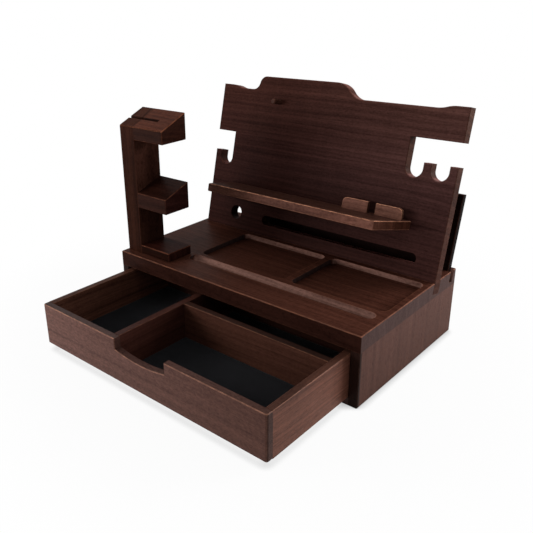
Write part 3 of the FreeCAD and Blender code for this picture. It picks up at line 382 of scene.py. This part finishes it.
def wood(name, seed, grain, tone, lean=0.0, spread=0.36, gloss=0.1, wear_and_highlight=0.5, crisp=0.0,
         pale=4.2, mottle=0.3, ends=None, faces=(), painted_light_drift=()):
    """Stained, satin-varnished walnut.

    grain is the fibre's axis, the board's width and its thickness, as "xzy", and lean the
    board's tilt about x. tone is the mean colour, spread how far the figure leaves it, and mottle
    the share of the figure that has no direction. ends is the mean colour of the cut ends and its
    spread. gloss is the strength of the varnish.

    wear is how far the bevels are lightened, partly by rubbing and partly as a painted highlight,
    and crisp how far the edges that have none are. They are lightened to a wood as many times
    lighter than the tone as pale says.

    faces are (direction, share) pairs for the faces looking that way, with (axis, from, to) after
    them where the share grows along an axis; they paint light and shade. drift rows are
    (direction, from, to, first, last) shares across the board, painted light and shade as
    gradients. A share is a number or a tint that the colour is multiplied by.
    """
    m = Surface(name)
    tilt = Matrix.Rotation(-lean, 3, "X")
    length, width, depth = (tilt @ AXES[letter] for letter in grain)
    shift = tuple(seed * step for step in SEED_SHIFT)
    board = m.board(length, width, depth)

    parts = {}
    for part, (longer, *settings) in DRAWN_OUT.items():
        drawn_out = m.place(board, shift, (1 / longer, 1, 1 / DEEPER))
        parts[part] = m.noise(drawn_out, *settings)
    ring_place = m.math("MULTIPLY_ADD", parts["sway"], RING_SWAY,
                        m.along(width + depth * RING_SLANT))
    ring_place = m.math("MULTIPLY_ADD", parts["quiver"], RING_QUIVER, ring_place)
    ring_place = m.math("ADD", ring_place, seed * RING_STEP)
    parts["rings"] = m.layers(ring_place, **RINGS)
    parts["ripple"] = m.noise(m.place(board, shift, RIPPLE_SHAPE), **RIPPLE)
    parts["cloud"] = m.noise(m.place(board, shift, CLOUD_SHAPE), **CLOUD)

    figure = 0.0
    for part, share in (*SHARES.items(), ("cloud", mottle)):
        figure = m.math("MULTIPLY_ADD", parts[part], share / (1 + mottle), figure)
    figure = m.ramp(figure, FIGURE_LOW, FIGURE_HIGH)

    def stained(mean, spread):
        """Dark wood is a little redder than its mean, and light wood a little greyer."""
        dark, light = (times(mean, *(1 + spread * share for share in shares))
                       for shares in (DARKEST, LIGHTEST))
        return m.blend(figure, dark, light)

    base = srgb(*tone)
    colour = stained(base, spread)
    if ends:
        cut = m.ramp(m.math("ABSOLUTE", m.along(length, "Normal")), CUT_START, CUT_END)
        colour = m.blend(cut, colour, stained(srgb(*ends[0]), ends[1]))
    pores = m.ramp(parts["flecks"], PORES_START, PORES_END)
    colour = m.blend(m.math("MULTIPLY", pores, PORES_SHARE), colour, times(base, *PORES_TINT))

    # Painted shade: inside corners are darker.
    painted_crease_shade = m.ramp(m.near(CREASE_REACH, inside=False), CREASE_START, CREASE_END)
    colour = m.shade(colour, painted_crease_shade, 1, CREASE_TONE)
    # Painted light and shade on the faces that look one way.
    for direction, share, *growth in faces:
        facing = m.ramp(m.along(direction, "Normal"), FACING_START, FACING_END)
        for axis, start, end in growth:
            facing = m.math("MULTIPLY", m.ramp(m.along(axis), start, end), facing)
        colour = m.shade(colour, facing, 1, share)
    # Painted light and shade as gradients across the board.
    for direction, start, end, first, last in painted_light_drift:
        colour = m.shade(colour, m.ramp(m.along(direction), start, end), first, last)

    # Lighter bevels and edges: partly rubbing, partly a painted highlight.
    square = 0.0
    for axis in (length, width, depth):
        square = m.math("MAXIMUM", m.math("ABSOLUTE", m.along(axis, "Normal")), square)
    bevel = m.ramp(square, BEVEL_END, BEVEL_START, 1.0, 0.0)
    rim = m.math("MULTIPLY", bevel, m.ramp(m.near(RIM_REACH, inside=True), RIM_START, RIM_END))
    if crisp:
        arris = m.ramp(m.near(ARRIS_REACH, inside=True), ARRIS_START, ARRIS_END, 0.0, crisp)
        rim = m.math("MAXIMUM", arris, rim)
    # Edges that look up get all of the painted highlight, and edges that look down less of it, as
    # painted shade.
    top_edge = m.ramp(m.along(UP, "Normal"), TOP_EDGE_START, TOP_EDGE_END, OTHER_EDGES, 1.0)
    rim = m.math("MULTIPLY", rim, top_edge)
    patches = m.noise(m.place(board, shift, (1, 1, 1)), **PATCHES)
    worn_and_highlit = m.ramp(patches, PATCH_START, PATCH_END, LEAST_WEAR_AND_HIGHLIGHT * wear_and_highlight, wear_and_highlight)
    rubbed_and_highlit = m.math("MULTIPLY", rim, worn_and_highlit)
    colour = m.blend(rubbed_and_highlit, colour, times(base, pale, pale * RUBBED_AND_HIGHLIT_GREEN, pale))
    m.put(m.shader.inputs["Base Color"], colour)

    rough = m.math("MULTIPLY_ADD", parts["fibres"], ROUGHER["fibres"], ROUGHNESS)
    rough = m.math("MULTIPLY_ADD", pores, ROUGHER["pores"], rough)
    rough = m.math("MULTIPLY_ADD", rubbed_and_highlit, ROUGHER["rubbed_and_highlit"], rough)
    m.put(m.shader.inputs["Roughness"], rough)
    m.shader.inputs["Specular IOR Level"].default_value = gloss
    height = m.math("MULTIPLY_ADD", parts["streaks"], RELIEF_SHARE,
                    m.math("MULTIPLY", parts["fibres"], RELIEF_SHARE))
    m.bump(m.math("SUBTRACT", height, pores), RELIEF_DEPTH, RELIEF_STRENGTH)
    return m.material


NAP = {"scale": 1500, "detail": 3, "rough": 0.7}
FELT_PATCHES = {"scale": 45, "detail": 3, "rough": 0.6}
FELT_SHIFT = (1, 0.4, 0.7)
NAP_SHARE = 0.6
FELT_LOW, FELT_HIGH = 0.35, 0.65
FELT_DARK, FELT_LIGHT = (13, 13, 15), (29, 29, 33)
NAP_LOW, NAP_HIGH = 0.3, 0.7
FELT_SMOOTHEST, FELT_ROUGHEST = 0.85, 1.0
FELT_GLOSS = 0.05
SHEEN, SHEEN_ROUGHNESS = 0.08, 0.5
NAP_DEPTH, NAP_STRENGTH = 0.0004, 0.8


def felt(name, seed):
    """Black flocked lining."""
    m = Surface(name)
    shift = tuple(seed * step for step in FELT_SHIFT)
    vector = m.place(m.coordinates.outputs["Object"], shift, (1, 1, 1))
    nap = m.noise(vector, **NAP)
    patches = m.noise(vector, **FELT_PATCHES)
    tone = m.math("ADD", m.math("MULTIPLY", nap, NAP_SHARE),
                  m.math("MULTIPLY", patches, 1 - NAP_SHARE))
    m.put(m.shader.inputs["Base Color"],
          m.blend(m.ramp(tone, FELT_LOW, FELT_HIGH), srgb(*FELT_DARK), srgb(*FELT_LIGHT)))
    m.put(m.shader.inputs["Roughness"],
          m.ramp(nap, NAP_LOW, NAP_HIGH, FELT_SMOOTHEST, FELT_ROUGHEST))
    m.shader.inputs["Specular IOR Level"].default_value = FELT_GLOSS
    m.shader.inputs["Sheen Weight"].default_value = SHEEN
    m.shader.inputs["Sheen Roughness"].default_value = SHEEN_ROUGHNESS
    m.bump(nap, NAP_DEPTH, NAP_STRENGTH)
    return m.material


# What each wooden piece is finished with, and the light and shade painted on it: the settings of
# wood().

LEAN = math.radians(13.2)
# The far cove of the pen groove looks this way, and a painted highlight lightens it there. The
# length makes all of the cove count as facing it, and the height leaves the flat top out.
HIGHLIT_COVE = UP * 0.55 - BACK * 1.2
DOWEL = {"tone": (168, 128, 88), "spread": 0.15}
HIDDEN_CASE = {"tone": (60, 35, 28)}
CASE_SIDE = {
    "grain": "zyx", "tone": (78, 50, 42),
    "spread": 0.24, "gloss": 0.03, "wear_and_highlight": 0.3, "mottle": 0.5,
    # Painted shade: a dark front end, a side darker towards the bottom and lighter towards the
    # top, and a dark line along the bottom edge.
    "painted_light_drift": (
        (BACK, -0.1, -0.098, 0.24, 1.0),
        (UP, 0.0, 0.06, (0.82, 0.75, 0.69), (1.1, 1.14, 1.18)),
        (UP, 0.0, 0.0016, 0.4, 1.0),
    ),
}
PHONE_LIP = {
    "grain": "xzy", "lean": LEAN, "spread": 0.5, "gloss": 0.03, "wear_and_highlight": 0.9,
    # Painted shade on the right ends.
    "faces": ((RIGHT, 0.5),),
}
FINISHES = {
    "case_back": {"grain": "xzy", **HIDDEN_CASE},
    "case_bottom": {"grain": "xyz", **HIDDEN_CASE},
    "case_dowels": {"grain": "zxy", **DOWEL},
    "case_left_side": CASE_SIDE,
    "case_right_side": CASE_SIDE,
    "case_top_slab": {
        "grain": "xyz", "tone": (76, 43, 33), "ends": ((71, 53, 50), 0.24),
        "spread": 0.5, "gloss": 0.015, "wear_and_highlight": 0.7, "crisp": 0.8,
        # Painted highlight on the far cove of the pen groove, and painted shade on the front
        # face.
        "faces": ((HIGHLIT_COVE, (3.6, 5.4, 6.6)),),
        "painted_light_drift": ((BACK, -0.1018, -0.1009, (0.1, 0.067, 0.059), 1.0),),
    },
    "main_panel": {
        "grain": "xzy", "lean": LEAN, "tone": (56, 30, 26), "spread": 0.5, "gloss": 0.01,
        # Painted light and shade: a lighter top edge, darker right ends and inner prong faces,
        # and gradients lighter towards the right and the top.
        "faces": (
            (UP, 2.4),
            (RIGHT, (0.95, 0.93, 0.75)),
            (RIGHT, 0.6, (UP, 0.14, 0.17)),
        ),
        "painted_light_drift": (
            (RIGHT, -0.06, 0.17, 0.88, (1.6, 1.95, 2.15)),
            (UP, 0.085, 0.2, (0.72, 0.66, 0.62), (1.1, 1.14, 1.16)),
            (UP, 0.17, 0.26, 1, (1.38, 1.36, 1.2)),
        ),
    },
    "rear_panel": {
        "grain": "xzy", "lean": LEAN, "tone": (52, 29, 24), "spread": 0.5, "gloss": 0.01,
        # Painted shade on the right end and the front face.
        "faces": ((RIGHT, 0.14), (-BACK, 0.3)),
    },
    "phone_shelf": {
        "grain": "xyz", "lean": LEAN, "tone": (109, 70, 58),
        "spread": 0.55, "gloss": 0.02, "wear_and_highlight": 1.0, "pale": 5.5,
        # Painted shade on the top and the right end, and painted light growing towards the right.
        "faces": ((UP, 0.42), (RIGHT, (0.36, 0.3, 0.25))),
        "painted_light_drift": ((RIGHT, -0.08, 0.12, 0.72, 1.25),),
    },
    "phone_lip_left": {"tone": (126, 82, 68), **PHONE_LIP},
    "phone_lip_right": {"tone": (130, 86, 71), **PHONE_LIP},
    "ring_peg": {"grain": "yzx", "tone": (66, 39, 31), "gloss": 0.05},
    "shelf_dowels": {"grain": "yzx", **DOWEL},
    "watch_post": {
        "grain": "zxy", "tone": (46, 23, 15),
        "spread": 0.55, "gloss": 0.01, "wear_and_highlight": 1.0, "pale": 9,
        # Painted light on the top and the right faces, and more of it towards the top.
        "faces": ((UP, 1.8), (RIGHT, (1.9, 2.2, 2.6))),
        "painted_light_drift": ((UP, 0.2, 0.27, 1.0, 1.6),),
    },
    "watch_foot": {
        "grain": "xyz", "tone": (42, 20, 14),
        "spread": 0.5, "gloss": 0.01, "wear_and_highlight": 0.9, "pale": 8,
        # Painted light on the top and the right end, and painted shade on the front.
        "faces": ((UP, (1.5, 1.3, 1.4)), (RIGHT, (2.1, 2.2, 2.6)), (-BACK, 0.55)),
    },
    "watch_lower_arm": {
        "grain": "xzy", "tone": (43, 21, 15),
        "spread": 0.5, "gloss": 0.02, "wear_and_highlight": 1.0, "pale": 6.5,
        # Painted light on the right end, and a little painted shade on the top.
        "faces": ((UP, 0.95), (RIGHT, (1.5, 1.5, 1.9))),
    },
    "watch_upper_arm": {
        "grain": "xzy", "tone": (44, 21, 14),
        "spread": 0.5, "gloss": 0.02, "wear_and_highlight": 1.0, "pale": 12,
        # Painted light on the top and the right end.
        "faces": ((UP, (4.2, 3.8, 3.2)), (RIGHT, 1.15)),
    },
    "watch_arm_dowels": {"grain": "yzx", **DOWEL},
    "watch_post_dowels": {"grain": "zxy", **DOWEL},
    "drawer_front": {
        "grain": "xzy", "tone": (92, 60, 51),
        "spread": 0.38, "gloss": 0.07, "wear_and_highlight": 0.75, "mottle": 0.7,
        # Painted light and shade: dark tops that grow lighter towards the right, a shaded inner
        # face and right end, and a gradient from a lighter left to a darker right.
        "faces": (
            (UP, 0.3),
            (UP, 2.4, (RIGHT, -0.13, 0.13)),
            (BACK, 0.5),
            (RIGHT, 0.5),
        ),
        "painted_light_drift": ((RIGHT, -0.16, 0.16, (1.27, 1.36, 1.45), 0.86),),
    },
    "drawer_left_side": {
        "grain": "yzx", "tone": (97, 61, 48),
        "spread": 0.55, "gloss": 0.03, "wear_and_highlight": 0.3, "mottle": 0.2,
        # Painted shade on the top and painted light on the inner face.
        "faces": ((UP, 0.75), (RIGHT, 1.15)),
    },
    "drawer_right_side": {
        "grain": "yzx", "tone": (100, 62, 49),
        "spread": 0.5, "gloss": 0.07, "wear_and_highlight": 0.3, "mottle": 0.2,
        # Painted shade on the top and the inner face.
        "faces": ((UP, 0.6), (-RIGHT, 0.45)),
    },
    "drawer_back": {"grain": "xzy", "tone": (66, 39, 31), "gloss": 0.05},
    "drawer_bottom": {"grain": "xyz", "tone": (66, 40, 33)},
    "drawer_long_divider": {
        # Painted shade on the top.
        "grain": "yzx", "tone": (66, 37, 30), "gloss": 0.05, "faces": ((UP, 0.9),),
    },
    "drawer_cross_divider": {
        # Painted shade on the top.
        "grain": "xzy", "tone": (76, 46, 36), "gloss": 0.05, "faces": ((UP, 0.4),),
    },
    "drawer_front_dowels": {"grain": "yzx", **DOWEL},
    "drawer_back_dowels": {"grain": "yzx", **DOWEL},
}


def finish_nodes():
    """Give every wooden node its own material. The liners have none: felt replaces them."""
    for seed, (name, node) in enumerate(sorted(NODES.items()), 1):
        if name in FINISHES:
            material = wood("walnut_" + name, seed, **FINISHES[name])
            for slot in node.material_slots:
                slot.material = material


# Felt sheets. Lengths are in metres.

LINERS = ("drawer_liner_left", "drawer_liner_front", "drawer_liner_rear")
# The rounded edge of a sheet: distances from its rim and the shares of its height there.
ROUNDED_EDGE = ((0, 0.35), (0.0003, 0.68), (0.0008, 0.9), (0.0016, 1))
FELT_STEP = 0.0035
FELT_SINK = 0.00025  # how far the top lies below the liner's, and how far it waves about that
FELT_INSET = 0.0002  # mean gap between the sheet and its liner's rim
FELT_LIFT = 0.00002  # keeps the sheet's underside off the floor under it
RIM_WAVE, RIM_SLICE = 60, 1.7  # noise along the rim
SLOW_WAVE, QUICK_WAVE = 38, 190  # noise over the top
QUICK_SHARE = 0.5  # height of the quick waves, against the slow ones'


def spread_out(size):
    """Places across a sheet, closer together at its edges, each with its share of the height."""
    inset = ROUNDED_EDGE[-1][0]
    inner = size - 2 * inset
    count = max(2, round(inner / FELT_STEP))
    middle = [(inset + inner * i / count, 1) for i in range(1, count)]
    far_edge = [(size - place, share) for place, share in reversed(ROUNDED_EDGE)]
    return [*ROUNDED_EDGE, *middle, *far_edge]


def felt_mesh(name, low, high, seed):
    """A closed sheet: a wavy top, soft edges and a flat underside."""
    width, length, thick = high - low
    columns, rows = spread_out(width), spread_out(length)
    points, top = [], {}
    for i, (x, across) in enumerate(columns):
        for j, (y, along) in enumerate(rows):
            inset = FELT_INSET + FELT_INSET * noise.noise(
                (x * RIM_WAVE + seed, y * RIM_WAVE, RIM_SLICE))
            place_x = low.x + x + inset * (1 - 2 * x / width)
            place_y = low.y + y + inset * (1 - 2 * y / length)
            wave = noise.noise((x * SLOW_WAVE, y * SLOW_WAVE, seed))
            wave += QUICK_SHARE * noise.noise((x * QUICK_WAVE, y * QUICK_WAVE, seed))
            wave = min(max(wave, -1), 1)
            height = (thick - FELT_SINK) * across * along + FELT_SINK * wave * across * along
            top[i, j] = len(points)
            points.append((place_x, place_y, low.z + height))
    last, end = len(columns) - 1, len(rows) - 1
    faces = [
        (top[i, j], top[i + 1, j], top[i + 1, j + 1], top[i, j + 1])
        for i in range(last) for j in range(end)
    ]
    rim = [(i, 0) for i in range(last)] + [(last, j) for j in range(end)]
    rim += [(i, end) for i in range(last, 0, -1)] + [(0, j) for j in range(end, 0, -1)]
    under = len(points)
    points += [(*points[top[place]][:2], low.z + FELT_LIFT) for place in rim]
    for k, place in enumerate(rim):
        following = (k + 1) % len(rim)
        faces.append((top[place], under + k, under + following, top[rim[following]]))
    faces.append(tuple(under + k for k in reversed(range(len(rim)))))
    mesh = bpy.data.meshes.new(name)
    mesh.from_pydata(points, [], faces)
    mesh.shade_smooth()
    return mesh


def lay_felt(node, seed):
    """A cut sheet of felt, a little uneven, in place of one compartment's plain liner."""
    low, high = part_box(node)
    name = node.replace("liner", "felt")
    mesh = felt_mesh(name, low, high, seed)
    mesh.materials.append(felt(name, seed))
    sheet = bpy.data.objects.new(name, mesh)
    bpy.context.scene.collection.objects.link(sheet)
    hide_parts(node)
    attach(sheet, "drawer")


view = bpy.context.scene.view_settings
view.view_transform = "Standard"
add_camera()
add_world()
add_floor()
for light in LIGHTS:
    add_light(*light)
finish_nodes()
for number, liner in enumerate(LINERS, 1):
    lay_felt(liner, number)
